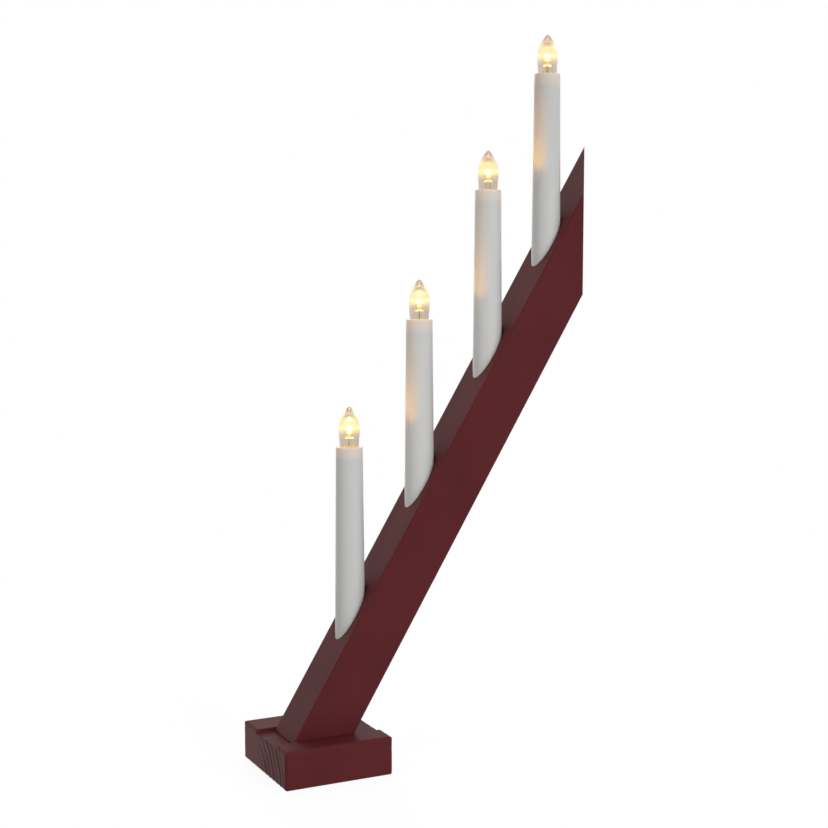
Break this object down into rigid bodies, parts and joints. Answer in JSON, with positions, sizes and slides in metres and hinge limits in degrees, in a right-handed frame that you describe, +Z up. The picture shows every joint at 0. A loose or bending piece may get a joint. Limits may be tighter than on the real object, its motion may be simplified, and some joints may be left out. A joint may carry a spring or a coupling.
{
  "type": "advent candle holder",
  "caption": "Dark red wooden Advent light: a square weighted foot carries a slanted beam with white electric candles in plumb holes, each with a screw-in flame-shaped LED bulb.",
  "frame": {"origin": "middle of the foot's resting face, on the table", "axes": "+X along the foot, the way the beam leans; -Y to the front; +Z up"},
  "size_m": [0.2711, 0.0826, 0.5268],
  "materials": {
    "painted_wood": "matte burgundy paint, the softwood's grain showing through",
    "ballast_steel": "sawn bare steel",
    "felt": "dark pressed felt",
    "screw_steel": "zinc plated",
    "candle_plastic": "white, semi-gloss, slightly translucent",
    "holder_plastic": "off-white moulding",
    "brass": "pressed brass",
    "white_insulation": "white wire insulation",
    "grey_insulation": "grey wire insulation",
    "black_plastic": "black moulding",
    "clear_plastic": "clear moulded flame with fine upright flutes inside",
    "nickel": "nickel plated thin sheet",
    "solder": "tin solder",
    "led_resin": "warm white LED resin, lit",
    "lead_wire": "tinned wire, warm lit",
    "resistor_body": "beige lacquer"
  },
  "bodies": {
    "base": {"foot_block": "painted_wood", "ballast_block": "ballast_steel", "base_felt": "felt", "clamp_screws": "screw_steel", "beam": "painted_wood", "channel_cover": "painted_wood", "cover_screws": "screw_steel", "inlet_body": "black_plastic", "inlet_pin": "brass", "inlet_sleeve": "brass", "supply_lead": "grey_insulation", "lead_crimps": "holder_plastic", "candle_sleeve_1": "candle_plastic", "candle_sleeve_2": "candle_plastic", "candle_sleeve_3": "candle_plastic", "candle_sleeve_4": "candle_plastic", "lampholder_1": "holder_plastic", "lampholder_2": "holder_plastic", "lampholder_3": "holder_plastic", "lampholder_4": "holder_plastic", "screw_shell_1": "brass", "screw_shell_2": "brass", "screw_shell_3": "brass", "screw_shell_4": "brass", "centre_contact_1": "brass", "centre_contact_2": "brass", "centre_contact_3": "brass", "centre_contact_4": "brass", "candle_lead_1": "white_insulation", "candle_lead_2": "white_insulation", "candle_lead_3": "white_insulation", "candle_lead_4": "white_insulation"},
    "bulb_1_lift": {"solder_contact_1": "solder"},
    "bulb_1": {"bulb_envelope_1": "clear_plastic", "bulb_cap_1": "nickel", "cap_insulator_1": "black_plastic", "led_1": "led_resin", "led_leads_1": "lead_wire", "bulb_resistor_1": "resistor_body"},
    "bulb_2_lift": {"solder_contact_2": "solder"},
    "bulb_2": {"bulb_envelope_2": "clear_plastic", "bulb_cap_2": "nickel", "cap_insulator_2": "black_plastic", "led_2": "led_resin", "led_leads_2": "lead_wire", "bulb_resistor_2": "resistor_body"},
    "bulb_3_lift": {"solder_contact_3": "solder"},
    "bulb_3": {"bulb_envelope_3": "clear_plastic", "bulb_cap_3": "nickel", "cap_insulator_3": "black_plastic", "led_3": "led_resin", "led_leads_3": "lead_wire", "bulb_resistor_3": "resistor_body"},
    "bulb_4_lift": {"solder_contact_4": "solder"},
    "bulb_4": {"bulb_envelope_4": "clear_plastic", "bulb_cap_4": "nickel", "cap_insulator_4": "black_plastic", "led_4": "led_resin", "led_leads_4": "lead_wire", "bulb_resistor_4": "resistor_body"}
  },
  "joints": [
    {"name": "bulb_1_rise", "type": "slide", "parent": "base", "child": "bulb_1_lift", "axis": [0, 0, 1], "range_m": [0, 0.00726]},
    {"name": "bulb_1_turn", "type": "hinge", "parent": "bulb_1_lift", "child": "bulb_1", "pos_m": [0.0248, -0.00325, 0.23039], "axis": [0, 0, 1], "range_deg": [0, 1440]},
    {"name": "bulb_2_rise", "type": "slide", "parent": "base", "child": "bulb_2_lift", "axis": [0, 0, 1], "range_m": [0, 0.00726]},
    {"name": "bulb_2_turn", "type": "hinge", "parent": "bulb_2_lift", "child": "bulb_2", "pos_m": [0.0802, -0.00325, 0.31951], "axis": [0, 0, 1], "range_deg": [0, 1440]},
    {"name": "bulb_3_rise", "type": "slide", "parent": "base", "child": "bulb_3_lift", "axis": [0, 0, 1], "range_m": [0, 0.00726]},
    {"name": "bulb_3_turn", "type": "hinge", "parent": "bulb_3_lift", "child": "bulb_3", "pos_m": [0.1362, -0.00325, 0.41261], "axis": [0, 0, 1], "range_deg": [0, 1440]},
    {"name": "bulb_4_rise", "type": "slide", "parent": "base", "child": "bulb_4_lift", "axis": [0, 0, 1], "range_m": [0, 0.00726]},
    {"name": "bulb_4_turn", "type": "hinge", "parent": "bulb_4_lift", "child": "bulb_4", "pos_m": [0.1857, -0.00325, 0.49833], "axis": [0, 0, 1], "range_deg": [0, 1440]}
  ],
  "couplings": [
    {"joint": "bulb_1_rise", "follows": "bulb_1_turn", "m_per_rad": 0.00028871},
    {"joint": "bulb_2_rise", "follows": "bulb_2_turn", "m_per_rad": 0.00028871},
    {"joint": "bulb_3_rise", "follows": "bulb_3_turn", "m_per_rad": 0.00028871},
    {"joint": "bulb_4_rise", "follows": "bulb_4_turn", "m_per_rad": 0.00028871}
  ]
}
